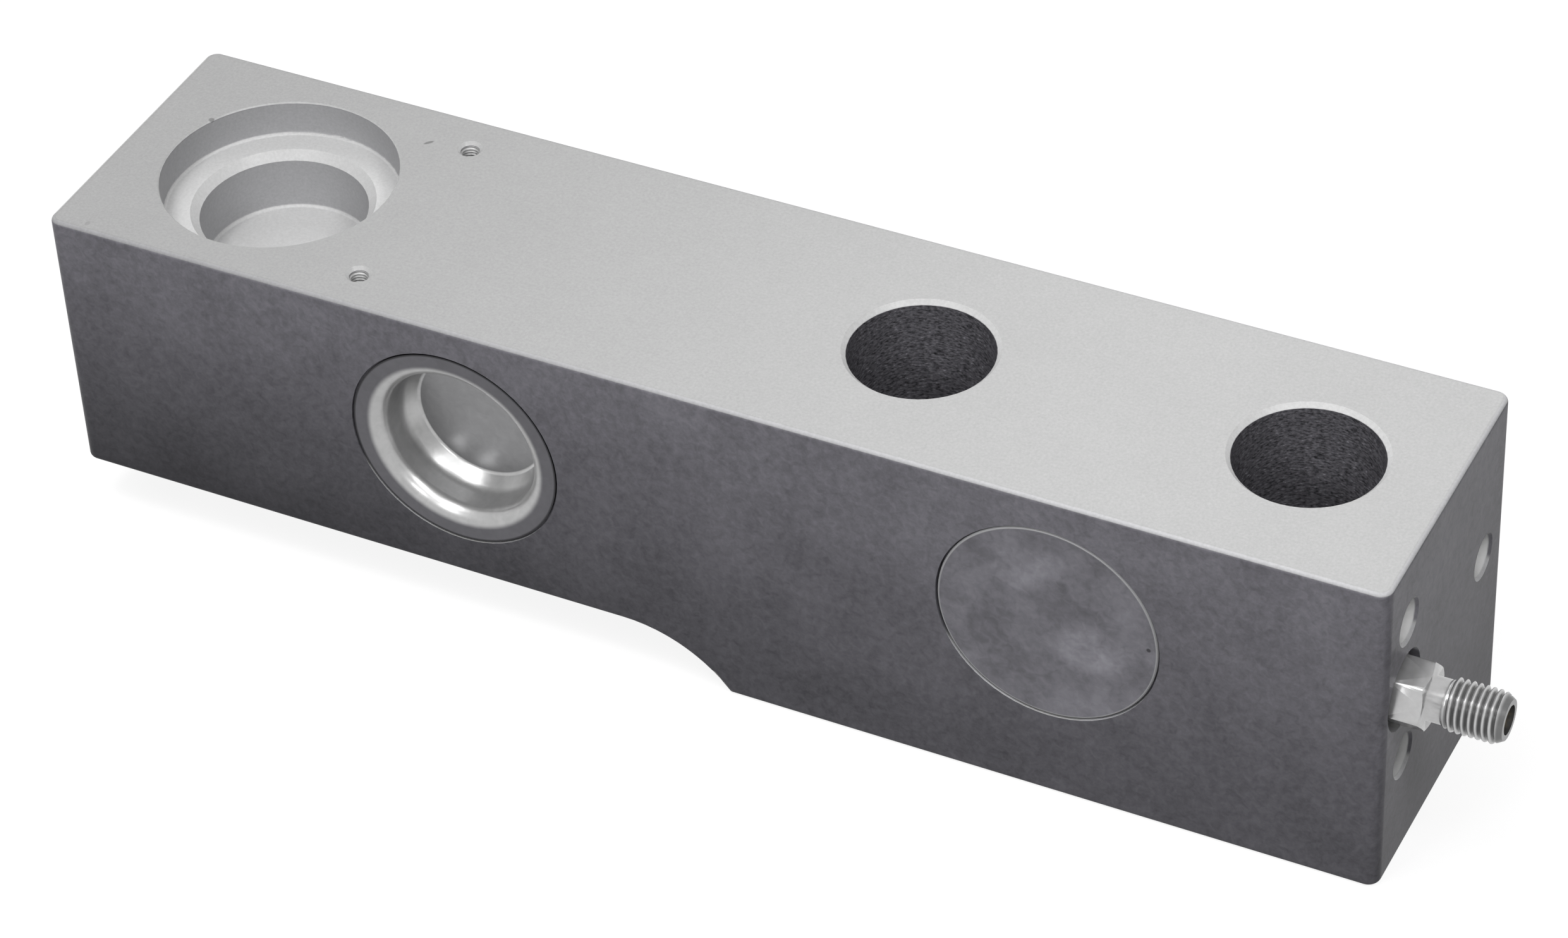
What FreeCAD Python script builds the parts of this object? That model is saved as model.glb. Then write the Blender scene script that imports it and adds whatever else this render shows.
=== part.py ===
import FreeCAD, Part
import math
import os

# Shear beam load cell, millimetres.
# Origin: on the mounting base, midway between the two mounting bores, on the centre plane.
# +X points to the connector end, -Y is the side with the round cover, +Z is up.

V = FreeCAD.Vector

# Beam block
beam_length = 216.0
beam_width = 48.2
beam_height = 55.3
corner_radius = 2.0
edge_radius = 0.8

# Underside relief, which lets the load end move down
relief_height = 8.65
relief_length = 112.8
relief_radius = 22.0

# Mounting bores
bore_spacing = 60.0
bore_diameter = 22.0
bore_chamfer = 0.7
fitting_end_setback = 21.3

# Stepped blind load hole
load_setback = 26.7
load_counterbore_diameter = 36.8
load_counterbore_depth = 5.9
load_counterbore_floor_radius = 0.5
load_hole_diameter = 26.0
load_hole_depth = 15.9
load_hole_floor_radius = 0.6
load_hole_chamfer = 1.3
load_rim_break = 0.2

# Pair of tapped holes beside the load hole, drawn at the thread's major diameter
small_thread_diameter = 3.0
small_thread_depth = 8.0
small_thread_setback = 50.5
small_thread_spacing = 34.0
small_countersink_diameter = 4.0

# Shear pockets, one in each side a little above the bar's axis, with a thin web between them
pocket_setback = 68.5
pocket_rise = 0.825
pocket_diameter = 32.0
pocket_floor_radius = 2.0
web_thickness = 5.0

# Round seats of the two sealing cups and of the cavity cover
seat_diameter = 34.9
seat_gap = 0.3
flush_depth = 0.1

# Sealing cup, drawn from thin sheet
cup_sheet = 0.5
cup_rim_width = 2.0
cup_lip_radius = 2.6
cup_lip_end_angle = 89.0
cup_throat_radius = 84.0
cup_throat_end_angle = 87.3
cup_turn_radius = 3.2
cup_turn_end_angle = 60.0
cup_wall_radius = 40.0
cup_wall_end_angle = 57.0
cup_crease_radius = 0.6
cup_floor_angle = 6.0

# Electrical cavity behind the cover, and how far its centre lies from the origin and the bar's axis
cavity_shift = 0.3
cavity_rise = 0.425
cavity_diameter = 31.2
cavity_depth = 16.0
cover_thickness = 1.5
cover_edge_break = 0.2

# Lead passage, drilled from the connector end through the cavity to the front pocket
passage_inset = 7.9
passage_diameter = 5.0
cross_hole_diameter = 3.2
cross_hole_margin = 0.1

# Plain holes in the connector end face
end_hole_diameter = 6.6
end_hole_depth = 14.0
end_hole_chamfer = 0.4
end_hole_offset = 15.4
end_hole_drop = 0.575
end_hole_rise = 12.55
drill_point = 118.0

# Connector with a hexagon and an outside thread drawn as a plain shank
recess_diameter = 12.4
recess_depth = 2.5
hex_across_flats = 9.3
hex_turn_angle = -20.0
hex_height = 4.2
hex_chamfer_angle = 30.0
collar_diameter = 8.8
collar_height = 1.4
shank_diameter = 8.0
shank_length = 8.0
shank_clearance = 0.05
neck_diameter = 6.6
neck_length = 2.4
thread_diameter = 7.8
thread_length = 7.5
tip_length = 1.4
tip_diameter = 6.1
socket_diameter = 4.4
socket_depth = 7.0
tail_bore_diameter = 4.0
glass_thickness = 3.0
pin_diameter = 0.8
pin_circle = 2.8
pin_count = 4
pin_recess = 1.2
pin_tail = 9.0
ring_gap = 0.02

# Strain gauges on the web
film_length = 11.0
film_height = 9.0
film_thickness = 0.1
grid_thickness = 0.06
grid_lines = 7
grid_line_length = 3.2
grid_line_width = 0.22
grid_pitch = 0.42
grid_spread = 2.3
grid_shift = -1.2
tab_length = 1.2
tab_height = 0.9

# Solder terminals beside each gauge
terminal_gap = 1.2
strip_length = 3.0
strip_height = 7.2
strip_thickness = 0.3
pad_length = 2.4
pad_height = 1.1
pad_thickness = 0.1
pad_margin = 0.02

# Wires
wire_count = 4
wire_diameter = 0.6
wire_pitch = 0.65
jumper_diameter = 0.25
jumper_rise = 1.1
wire_bend = 1.8
lead_rise = 3.1
lead_clear_of_cup = 2.0
front_lead_shift = 0.6
back_lead_shift = 1.6
cable_wire_diameter = 0.9
cable_wire_bend = 2.2

# Compensation board in the cavity
board_clearance = 2.1
board_thickness = 1.2
standoff_height = 3.0
standoff_diameter = 4.0
screw_edge_distance = 2.5
screw_count = 3
screw_diameter = 2.0
screw_clearance = 0.1
screw_engagement = 4.0
screw_head_diameter = 3.8
screw_head_height = 1.3
screw_socket_diameter = 1.5
screw_socket_depth = 0.7
solder_pad_diameter = 1.3
solder_strip_width = 0.84
lead_pad_inset = 4.5
cable_pad_inset = 5.0
chip_length = 2.0
chip_width = 1.25
chip_height = 0.6
chip_count = 4
chip_pitch = 2.4
chip_drop = 5.2
coil_length = 8.0
coil_diameter = 3.0
coil_rise = 5.4
flange_thickness = 1.0
flange_lip = 0.3

# Extra depth of a drilled hole beyond what sits in it
hole_spare = 1.0

# Distance under which two edges count as being at the same place
tolerance = 1e-6

# Places and sizes that follow
half_width = beam_width / 2
fitting_face = bore_spacing / 2 + fitting_end_setback
load_face = fitting_face - beam_length
axis_height = (beam_height + relief_height) / 2
pocket_height = axis_height + pocket_rise
cavity_height = axis_height + cavity_rise
end_hole_height = axis_height - end_hole_drop
load_x = load_face + load_setback
gauge_x = load_face + pocket_setback
seat_radius = seat_diameter / 2
disc_radius = seat_radius - seat_gap
board_radius = cavity_diameter / 2 - board_clearance
screw_circle_radius = board_radius - screw_edge_distance
passage_y = passage_inset - half_width
cavity_floor = cavity_depth - half_width
web_face = web_thickness / 2


def box(x0, x1, y0, y1, z0, z1):
    return Part.makeBox(x1 - x0, y1 - y0, z1 - z0, V(x0, y0, z0))


def rod(start, direction, radius, length):
    return Part.makeCylinder(radius, length, start, direction)


def cone(start, direction, radius, end_radius, length):
    return Part.makeCone(radius, end_radius, length, start, direction)


def fuse_all(solids):
    joined = solids[0]
    if len(solids) > 1:
        joined = joined.multiFuse(solids[1:])
    return joined.removeSplitter()


def drilled_hole(mouth, direction, radius, depth):
    """A blind hole with the conical floor that a twist drill leaves."""
    point_length = radius / math.tan(math.radians(drill_point / 2))
    floor = mouth + direction * depth
    return rod(mouth, direction, radius, depth).fuse(cone(floor, direction, radius, 0, point_length))


def countersink(mouth, direction, outer_radius, inner_radius):
    return cone(mouth, direction, outer_radius, inner_radius, outer_radius - inner_radius)


def flat_hole(mouth, direction, radius, depth, floor_radius):
    """A blind hole with a flat floor and a rounded corner round it."""
    hole = rod(mouth, direction, radius, depth)
    floor = mouth + direction * depth
    rim = [e for e in hole.Edges if e.CenterOfMass.distanceToPoint(floor) < floor_radius]
    return hole.makeFillet(floor_radius, rim)


def stepped_seat(side, centre_x, centre_z, radius, depth, step_depth):
    """A round pocket in one side face, with a wider shallow seat at its mouth."""
    mouth = V(centre_x, side * half_width, centre_z)
    inward = V(0, -side, 0)
    pocket = flat_hole(mouth, inward, radius, depth, pocket_floor_radius)
    return pocket.fuse(rod(mouth, inward, seat_radius, step_depth))


def beam_blank():
    """The side outline of the bar with its relieved underside, its corners and edges rounded."""
    step_x = load_face + relief_length
    run = math.sqrt(2 * relief_radius * relief_height - relief_height ** 2)
    flat_end = step_x - run
    half_turn = math.asin(run / relief_radius) / 2
    arc_mid_x = flat_end + relief_radius * math.sin(half_turn)
    arc_mid_z = relief_height - relief_radius * (1 - math.cos(half_turn))
    y = -half_width
    corners = [V(load_face, y, relief_height), V(flat_end, y, relief_height), V(step_x, y, 0),
               V(fitting_face, y, 0), V(fitting_face, y, beam_height), V(load_face, y, beam_height)]
    edges = [Part.makeLine(corners[0], corners[1]),
             Part.Arc(corners[1], V(arc_mid_x, y, arc_mid_z), corners[2]).toShape()]
    for i in range(2, 6):
        edges.append(Part.makeLine(corners[i], corners[(i + 1) % 6]))
    bar = Part.Face(Part.Wire(edges)).extrude(V(0, beam_width, 0))
    uprights = [e for e in bar.Edges if abs(e.tangentAt(e.FirstParameter).z) > 0.999]
    bar = bar.makeFillet(corner_radius, uprights)
    rims = []
    for e in bar.Edges:
        level = e.BoundBox.ZMax - e.BoundBox.ZMin < tolerance
        curved_down = e.BoundBox.ZMin < tolerance and e.BoundBox.ZMax > relief_height - tolerance
        on_side = abs(abs(e.CenterOfMass.y) - half_width) < tolerance
        from_end = min(abs(e.CenterOfMass.x - load_face), abs(e.CenterOfMass.x - fitting_face))
        on_end = from_end < corner_radius
        across_step = abs(e.CenterOfMass.x - step_x) < tolerance
        if (level and (on_side or on_end or across_step)) or (curved_down and on_side):
            rims.append(e)
    return bar.makeFillet(edge_radius, rims)


def beam_body():
    down = V(0, 0, -1)
    cuts = []
    for x in (-bore_spacing / 2, bore_spacing / 2):
        bore_radius = bore_diameter / 2
        cuts.append(rod(V(x, 0, 0), V(0, 0, 1), bore_radius, beam_height))
        cuts.append(countersink(V(x, 0, beam_height), down, bore_radius + bore_chamfer, bore_radius))
        cuts.append(countersink(V(x, 0, 0), V(0, 0, 1), bore_radius + bore_chamfer, bore_radius))

    counterbore_radius = load_counterbore_diameter / 2
    hole_radius = load_hole_diameter / 2
    mouth = V(load_x, 0, beam_height)
    step = mouth + down * load_counterbore_depth
    cuts.append(flat_hole(mouth, down, counterbore_radius, load_counterbore_depth,
                          load_counterbore_floor_radius))
    cuts.append(countersink(mouth, down, counterbore_radius + load_rim_break, counterbore_radius))
    cuts.append(flat_hole(mouth, down, hole_radius, load_hole_depth, load_hole_floor_radius))
    cuts.append(countersink(step, down, hole_radius + load_hole_chamfer, hole_radius))

    for y in (-small_thread_spacing / 2, small_thread_spacing / 2):
        mouth = V(load_face + small_thread_setback, y, beam_height)
        cuts.append(drilled_hole(mouth, down, small_thread_diameter / 2, small_thread_depth))
        cuts.append(countersink(mouth, down, small_countersink_diameter / 2, small_thread_diameter / 2))

    pocket_depth = half_width - web_face
    for side in (-1, 1):
        cuts.append(stepped_seat(side, gauge_x, pocket_height, pocket_diameter / 2, pocket_depth,
                                 flush_depth + cup_sheet))
    cross_start = V(cross_hole_x, -web_face, axis_height)
    cuts.append(rod(cross_start, V(0, 1, 0), cross_hole_diameter / 2, web_thickness))

    cuts.append(stepped_seat(-1, cavity_shift, cavity_height, cavity_diameter / 2, cavity_depth,
                             flush_depth + cover_thickness))
    for x, z in screw_places():
        cuts.append(drilled_hole(V(x, cavity_floor, z), V(0, 1, 0), screw_diameter / 2,
                                 screw_engagement + hole_spare))

    inward = V(-1, 0, 0)
    seat = V(fitting_face, passage_y, axis_height)
    cuts.append(rod(seat, inward, passage_diameter / 2, fitting_face - pocket_floor_edge))
    cuts.append(rod(seat, inward, recess_diameter / 2, recess_depth))
    cuts.append(rod(seat, inward, shank_diameter / 2 + shank_clearance,
                    recess_depth + shank_length + hole_spare))

    end_hole_radius = end_hole_diameter / 2
    for y, z in end_hole_places():
        mouth = V(fitting_face, y, z)
        cuts.append(drilled_hole(mouth, inward, end_hole_radius, end_hole_depth))
        cuts.append(countersink(mouth, inward, end_hole_radius + end_hole_chamfer, end_hole_radius))
    return beam_blank().cut(cuts)


def end_hole_places():
    return [(-end_hole_offset, end_hole_height + end_hole_rise),
            (-end_hole_offset, end_hole_height - end_hole_rise),
            (end_hole_offset, end_hole_height)]


def screw_places():
    places = []
    for i in range(screw_count):
        angle = math.radians(90 + 360 * i / screw_count)
        places.append((cavity_shift + screw_circle_radius * math.cos(angle),
                       cavity_height + screw_circle_radius * math.sin(angle)))
    return places


def arc_step(point, slope, radius, end_slope):
    """One arc of a drawn profile. Points are (distance from the axis, depth).
    The slope is the angle that the profile falls inwards, and a falling slope bends it back to flat."""
    bend = 1 if end_slope > slope else -1

    def place(angle):
        a, s = math.radians(angle), math.radians(slope)
        inwards = bend * radius * (math.sin(a) - math.sin(s))
        deeper = bend * radius * (math.cos(s) - math.cos(a))
        return (point[0] - inwards, point[1] + deeper)

    return place((slope + end_slope) / 2), place(end_slope)


def cup_line(offset):
    """The cup's profile from its rim to its axis, moved back from the shown side by the offset."""
    start = (disc_radius, flush_depth + offset)
    lip_start = (disc_radius - cup_rim_width, flush_depth + offset)
    parts = [("line", start, lip_start)]
    point, slope = lip_start, 0.0
    for radius, end_slope in ((cup_lip_radius - offset, cup_lip_end_angle),
                              (cup_throat_radius + offset, cup_throat_end_angle),
                              (cup_turn_radius + offset, cup_turn_end_angle),
                              (cup_wall_radius + offset, cup_wall_end_angle),
                              (cup_crease_radius + offset, cup_floor_angle)):
        middle, end = arc_step(point, slope, radius, end_slope)
        parts.append(("arc", point, middle, end))
        point, slope = end, end_slope
    floor_radius = point[0] / math.sin(math.radians(cup_floor_angle))
    middle, end = arc_step(point, slope, floor_radius, 0.0)
    parts.append(("arc", point, middle, (0.0, end[1])))
    return parts


def sealing_cup(side):
    def at(p):
        return V(p[0], side * (half_width - p[1]), 0)

    edges = []
    shown, hidden = cup_line(0.0), cup_line(cup_sheet)
    for part in shown + hidden:
        if part[0] == "line":
            edges.append(Part.makeLine(at(part[1]), at(part[2])))
        else:
            edges.append(Part.Arc(at(part[1]), at(part[2]), at(part[3])).toShape())
    edges.append(Part.makeLine(at(shown[0][1]), at(hidden[0][1])))
    edges.append(Part.makeLine(at(shown[-1][3]), at(hidden[-1][3])))
    section = Part.Face(Part.Wire(Part.__sortEdges__(edges)))
    cup = section.revolve(V(0, 0, 0), V(0, 1, 0), 360)
    cup.translate(V(gauge_x, 0, pocket_height))
    return cup


def cavity_cover():
    centre = V(cavity_shift, flush_depth - half_width, cavity_height)
    disc = rod(centre, V(0, 1, 0), disc_radius, cover_thickness)
    rim = [e for e in disc.Edges if e.CenterOfMass.distanceToPoint(centre) < cover_edge_break]
    return disc.makeChamfer(cover_edge_break, rim)


def layer(side, start, thickness):
    """The lowest and highest Y of a flat layer that starts at a height above one face of the web."""
    ends = [side * (web_face + start), side * (web_face + start + thickness)]
    return min(ends), max(ends)


def gauge_film(side):
    low, high = layer(side, 0, film_thickness)
    return box(gauge_x - film_length / 2, gauge_x + film_length / 2, low, high,
               axis_height - film_height / 2, axis_height + film_height / 2)


def gauge_grid(side):
    """Two folded grids at 45 degrees to the beam, with four solder tabs."""
    low, high = layer(side, film_thickness, grid_thickness)
    solids = []
    for lean in (1, -1):
        centre = V(gauge_x + grid_shift, 0, axis_height + lean * grid_spread)
        pieces = []
        for i in range(grid_lines):
            u = (i - (grid_lines - 1) / 2) * grid_pitch
            pieces.append(box(u - grid_line_width / 2, u + grid_line_width / 2, low, high,
                              -grid_line_length / 2, grid_line_length / 2))
        for i in range(grid_lines - 1):
            u = (i - (grid_lines - 1) / 2) * grid_pitch
            end = grid_line_length / 2 if i % 2 == 0 else -grid_line_length / 2
            pieces.append(box(u - grid_line_width / 2, u + grid_pitch + grid_line_width / 2, low, high,
                              end - grid_line_width / 2, end + grid_line_width / 2))
        grid = fuse_all(pieces)
        grid.rotate(V(0, 0, 0), V(0, 1, 0), 45 * lean)
        grid.translate(centre)
        solids.append(grid)
    for z in wire_heights(tab_pitch):
        x1 = gauge_x + film_length / 2
        solids.append(box(x1 - tab_length, x1, low, high, z - tab_height / 2, z + tab_height / 2))
    return Part.makeCompound(solids)


def terminal_strip(side):
    x0 = gauge_x + film_length / 2 + terminal_gap
    low, high = layer(side, 0, strip_thickness)
    return box(x0, x0 + strip_length, low, high,
               axis_height - strip_height / 2, axis_height + strip_height / 2)


def terminal_pads(side):
    x0 = gauge_x + film_length / 2 + terminal_gap + (strip_length - pad_length) / 2
    low, high = layer(side, strip_thickness, pad_thickness)
    return Part.makeCompound([box(x0, x0 + pad_length, low, high, z - pad_height / 2, z + pad_height / 2)
                              for z in wire_heights(tab_pitch)])


def wire_heights(pitch):
    return [axis_height + (i - (wire_count - 1) / 2) * pitch for i in range(wire_count)]


def wire_along(points, radii, diameter):
    """A round wire that follows straight runs joined by tangent arcs."""
    edges = []
    run_start = points[0]
    for i in range(1, len(points) - 1):
        arriving = (points[i] - points[i - 1]).normalize()
        leaving = (points[i + 1] - points[i]).normalize()
        turn = arriving.getAngle(leaving)
        trim = radii[i - 1] * math.tan(turn / 2)
        arc_start = points[i] - arriving * trim
        arc_end = points[i] + leaving * trim
        to_centre = (leaving - arriving).normalize()
        middle = points[i] + to_centre * (radii[i - 1] / math.cos(turn / 2) - radii[i - 1])
        edges.append(Part.makeLine(run_start, arc_start))
        edges.append(Part.Arc(arc_start, middle, arc_end).toShape())
        run_start = arc_end
    edges.append(Part.makeLine(run_start, points[-1]))
    path = Part.Wire(edges)
    start_direction = (points[1] - points[0]).normalize()
    section = Part.Wire(Part.makeCircle(diameter / 2, points[0], start_direction))
    return path.makePipeShell([section], True, False)


def jumpers(side):
    """Fine wires that hop from the gauge tabs to the terminals."""
    x0 = gauge_x + film_length / 2 - tab_length / 2
    x1 = gauge_x + film_length / 2 + terminal_gap + (strip_length - pad_length) / 2 + pad_length / 4
    y0 = side * (web_face + film_thickness + grid_thickness)
    y1 = side * (web_face + strip_thickness + pad_thickness)
    top = side * (web_face + jumper_rise)
    bend = (x1 - x0) / 3
    return Part.makeCompound([wire_along([V(x0, y0, z), V(x0, top, z), V(x1, top, z), V(x1, y1, z)],
                                         [min(bend, jumper_rise / 2)] * 2, jumper_diameter)
                              for z in wire_heights(tab_pitch)])


def front_leads():
    y0 = -(web_face + strip_thickness + pad_thickness)
    solids = []
    for z in wire_heights(wire_pitch):
        points = [V(lead_start_x, y0, z), V(lead_start_x, y0 - lead_rise, z),
                  V(cup_corner_x + lead_clear_of_cup, passage_y + front_lead_shift, z),
                  V(lead_pad_x(0), passage_y + front_lead_shift, z), V(lead_pad_x(0), pad_face, z)]
        solids.append(wire_along(points, [wire_bend, wire_bend, wire_bend], wire_diameter))
    return Part.makeCompound(solids)


def back_leads():
    y0 = web_face + strip_thickness + pad_thickness
    crest = y0 + wire_bend + wire_diameter
    turn_y = passage_y + back_lead_shift + 2 * lead_rise
    solids = []
    for z in wire_heights(wire_pitch):
        points = [V(lead_start_x, y0, z), V(lead_start_x, crest, z), V(cross_hole_x, crest, z),
                  V(cross_hole_x, turn_y, z),
                  V(cup_corner_x + lead_clear_of_cup + 2 * wire_diameter, passage_y + back_lead_shift, z),
                  V(lead_pad_x(1), passage_y + back_lead_shift, z), V(lead_pad_x(1), pad_face, z)]
        solids.append(wire_along(points, [wire_bend] * 5, wire_diameter))
    return Part.makeCompound(solids)


def lead_pad_x(row):
    """The inner row takes the ribbon that lies nearer to the board."""
    return cavity_shift - board_radius + lead_pad_inset - row * 2 * wire_diameter


def pin_places():
    places = []
    for i in range(pin_count):
        angle = math.radians(45 + 360 * i / pin_count)
        places.append((passage_y + pin_circle / 2 * math.cos(angle),
                       axis_height + pin_circle / 2 * math.sin(angle)))
    return places


def cable_wire_ends():
    """Where each connector wire lands on the board. A wire nearer to the board turns first."""
    ends = []
    for y, z in pin_places():
        outer = 1 if y < passage_y else 0
        ends.append((cavity_shift + board_radius - cable_pad_inset - outer * pin_circle, y, z))
    return ends


def connector_leads():
    solids = []
    for x, y, z in cable_wire_ends():
        points = [V(pin_tail_x, y, z), V(x, y, z), V(x, pad_face, z)]
        solids.append(wire_along(points, [min(cable_wire_bend, (pad_face - y) / 2)], cable_wire_diameter))
    return Part.makeCompound(solids)


def balance_board():
    board = rod(V(cavity_shift, board_face, cavity_height), V(0, 1, 0), board_radius, board_thickness)
    holes = [rod(V(x, board_face, z), V(0, 1, 0), screw_diameter / 2 + screw_clearance, board_thickness)
             for x, z in screw_places()]
    return board.cut(holes)


def board_standoffs():
    solids = []
    for x, z in screw_places():
        foot = V(x, cavity_floor - standoff_height, z)
        post = rod(foot, V(0, 1, 0), standoff_diameter / 2, standoff_height)
        hole = rod(foot, V(0, 1, 0), screw_diameter / 2 + screw_clearance, standoff_height)
        solids.append(post.cut(hole))
    return Part.makeCompound(solids)


def board_screws():
    solids = []
    reach = board_thickness + standoff_height + screw_engagement
    for x, z in screw_places():
        seat = V(x, board_face, z)
        head = rod(seat, V(0, -1, 0), screw_head_diameter / 2, screw_head_height)
        socket = hexagon_prism(V(x, board_face - screw_head_height, z), V(0, 1, 0), screw_socket_diameter,
                               0, screw_socket_depth)
        shank = rod(seat, V(0, 1, 0), screw_diameter / 2 - ring_gap, reach)
        solids.append(head.fuse(shank).cut(socket).removeSplitter())
    return Part.makeCompound(solids)


def board_pads():
    """A solder strip under each row of gauge wires, and a round pad under each connector wire."""
    heights = wire_heights(wire_pitch)
    solids = []
    for row in (0, 1):
        x = lead_pad_x(row)
        solids.append(box(x - solder_strip_width / 2, x + solder_strip_width / 2, pad_face, board_face,
                          min(heights) - wire_diameter, max(heights) + wire_diameter))
    for x, y, z in cable_wire_ends():
        solids.append(rod(V(x, pad_face, z), V(0, 1, 0), solder_pad_diameter / 2, pad_thickness))
    return Part.makeCompound(solids)


def trimming_resistors():
    solids = []
    middle = cavity_height - chip_drop
    for i in range(chip_count):
        x = cavity_shift + (i - (chip_count - 1) / 2) * chip_pitch
        solids.append(box(x - chip_width / 2, x + chip_width / 2, board_face - chip_height, board_face,
                          middle - chip_length / 2, middle + chip_length / 2))
    return Part.makeCompound(solids)


def temperature_resistor():
    """A small wound bobbin with a flange at each end, lying on the board."""
    radius = coil_diameter / 2
    start = V(cavity_shift - coil_length / 2, board_face - radius, cavity_height + coil_rise)
    along = V(1, 0, 0)
    solids = [rod(start, along, radius - flange_lip, coil_length)]
    for place in (0, coil_length - flange_thickness):
        solids.append(rod(start + along * place, along, radius, flange_thickness))
    return fuse_all(solids)


def hexagon_prism(centre, direction, across_flats, turn, length):
    """A hexagon turned from +Z towards -Y for a prism along X, or from +Z towards +X for one along Y."""
    corner = across_flats / 2 / math.cos(math.radians(30))
    points = []
    for i in range(7):
        angle = math.radians(turn + 60 * i)
        if abs(direction.x) > 0.5:
            points.append(centre + V(0, -corner * math.sin(angle), corner * math.cos(angle)))
        else:
            points.append(centre + V(corner * math.sin(angle), 0, corner * math.cos(angle)))
    return Part.Face(Part.makePolygon(points)).extrude(direction * length)


def connector_shell():
    out = V(1, 0, 0)

    def on_axis(x):
        return V(x, passage_y, axis_height)

    hex_length = hex_front_x - hex_back_x
    hexagon = hexagon_prism(on_axis(hex_back_x), out, hex_across_flats, hex_turn_angle, hex_length)
    flat_radius = hex_across_flats / 2
    corner = flat_radius / math.cos(math.radians(30))
    rise = (corner - flat_radius) * math.tan(math.radians(hex_chamfer_angle))
    bevel = rod(on_axis(hex_back_x), out, corner, hex_length - rise)
    bevel = bevel.fuse(cone(on_axis(hex_front_x - rise), out, corner, flat_radius, rise))
    hexagon = hexagon.common(bevel)
    collar = rod(on_axis(hex_back_x), -out, collar_diameter / 2, collar_height)
    shank = rod(on_axis(hex_back_x - collar_height), -out, shank_diameter / 2, shank_length)
    neck = rod(on_axis(hex_front_x), out, neck_diameter / 2, neck_length)
    thread = rod(on_axis(hex_front_x + neck_length), out, thread_diameter / 2, thread_length)
    tip = cone(on_axis(shell_end_x - tip_length), out, thread_diameter / 2, tip_diameter / 2, tip_length)
    shell = fuse_all([hexagon, collar, shank, neck, thread, tip])
    socket = rod(on_axis(shell_end_x), -out, socket_diameter / 2, socket_depth + glass_thickness)
    tail_bore = rod(on_axis(shell_end_x), -out, tail_bore_diameter / 2, shell_end_x - shell_back_x)
    return shell.cut([socket, tail_bore])


def connector_glass():
    start = V(shell_end_x - socket_depth - glass_thickness, passage_y, axis_height)
    seal = rod(start, V(1, 0, 0), socket_diameter / 2, glass_thickness)
    holes = [rod(V(start.x, y, z), V(1, 0, 0), pin_diameter / 2, glass_thickness) for y, z in pin_places()]
    return seal.cut(holes)


def contact_pins():
    tip_length = pin_diameter / 4
    solids = []
    for y, z in pin_places():
        tip_x = shell_end_x - pin_recess
        straight = rod(V(pin_tail_x, y, z), V(1, 0, 0), pin_diameter / 2, tip_x - tip_length - pin_tail_x)
        tip = cone(V(tip_x - tip_length, y, z), V(1, 0, 0), pin_diameter / 2, pin_diameter / 4, tip_length)
        solids.append(straight.fuse(tip).removeSplitter())
    return Part.makeCompound(solids)


def connector_ring():
    section_radius = collar_height / 2 - ring_gap
    ring_radius = collar_diameter / 2 + ring_gap + section_radius
    centre = V(hex_back_x - collar_height / 2, passage_y, axis_height)
    return Part.makeTorus(ring_radius, section_radius, centre, V(1, 0, 0))


# Places that need the profiles above
tab_pitch = (strip_height - pad_height) / (wire_count - 1) - pad_margin
cup_corner_x = gauge_x + cup_line(cup_sheet)[-2][1][0]
pocket_floor_edge = gauge_x + pocket_diameter / 2 - pocket_floor_radius
cross_hole_x = pocket_floor_edge - cross_hole_diameter / 2 - cross_hole_margin
lead_start_x = gauge_x + film_length / 2 + terminal_gap + strip_length / 2 + pad_length / 4
board_face = cavity_floor - standoff_height - board_thickness
pad_face = board_face - pad_thickness
hex_back_x = fitting_face - recess_depth + collar_height
hex_front_x = fitting_face + hex_height
shell_back_x = hex_back_x - collar_height - shank_length
shell_end_x = hex_front_x + neck_length + thread_length + tip_length
pin_tail_x = shell_end_x - socket_depth - glass_thickness - pin_tail

pieces = {
    "beam_body": beam_body(),
    "front_sealing_cup": sealing_cup(-1),
    "back_sealing_cup": sealing_cup(1),
    "front_gauge_film": gauge_film(-1),
    "back_gauge_film": gauge_film(1),
    "front_gauge_grid": gauge_grid(-1),
    "back_gauge_grid": gauge_grid(1),
    "front_terminal_strip": terminal_strip(-1),
    "back_terminal_strip": terminal_strip(1),
    "front_terminal_pads": terminal_pads(-1),
    "back_terminal_pads": terminal_pads(1),
    "front_jumper_wires": jumpers(-1),
    "back_jumper_wires": jumpers(1),
    "front_lead_wires": front_leads(),
    "back_lead_wires": back_leads(),
    "cavity_cover": cavity_cover(),
    "balance_board": balance_board(),
    "board_standoffs": board_standoffs(),
    "board_screws": board_screws(),
    "board_solder_pads": board_pads(),
    "trimming_resistors": trimming_resistors(),
    "temperature_resistor": temperature_resistor(),
    "connector_lead_wires": connector_leads(),
    "connector_shell": connector_shell(),
    "connector_glass_seal": connector_glass(),
    "connector_pins": contact_pins(),
    "connector_seal_ring": connector_ring(),
}

os.makedirs("parts", exist_ok=True)
for node, shape in pieces.items():
    shape.exportStep("parts/" + node + ".step")
    state = "valid" if shape.isValid() else "not valid"
    print(node, len(shape.Solids), "solids", round(shape.Volume, 2), "mm3", state)
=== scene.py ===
import math
import bmesh
import bpy
from mathutils import Matrix, Vector


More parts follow.
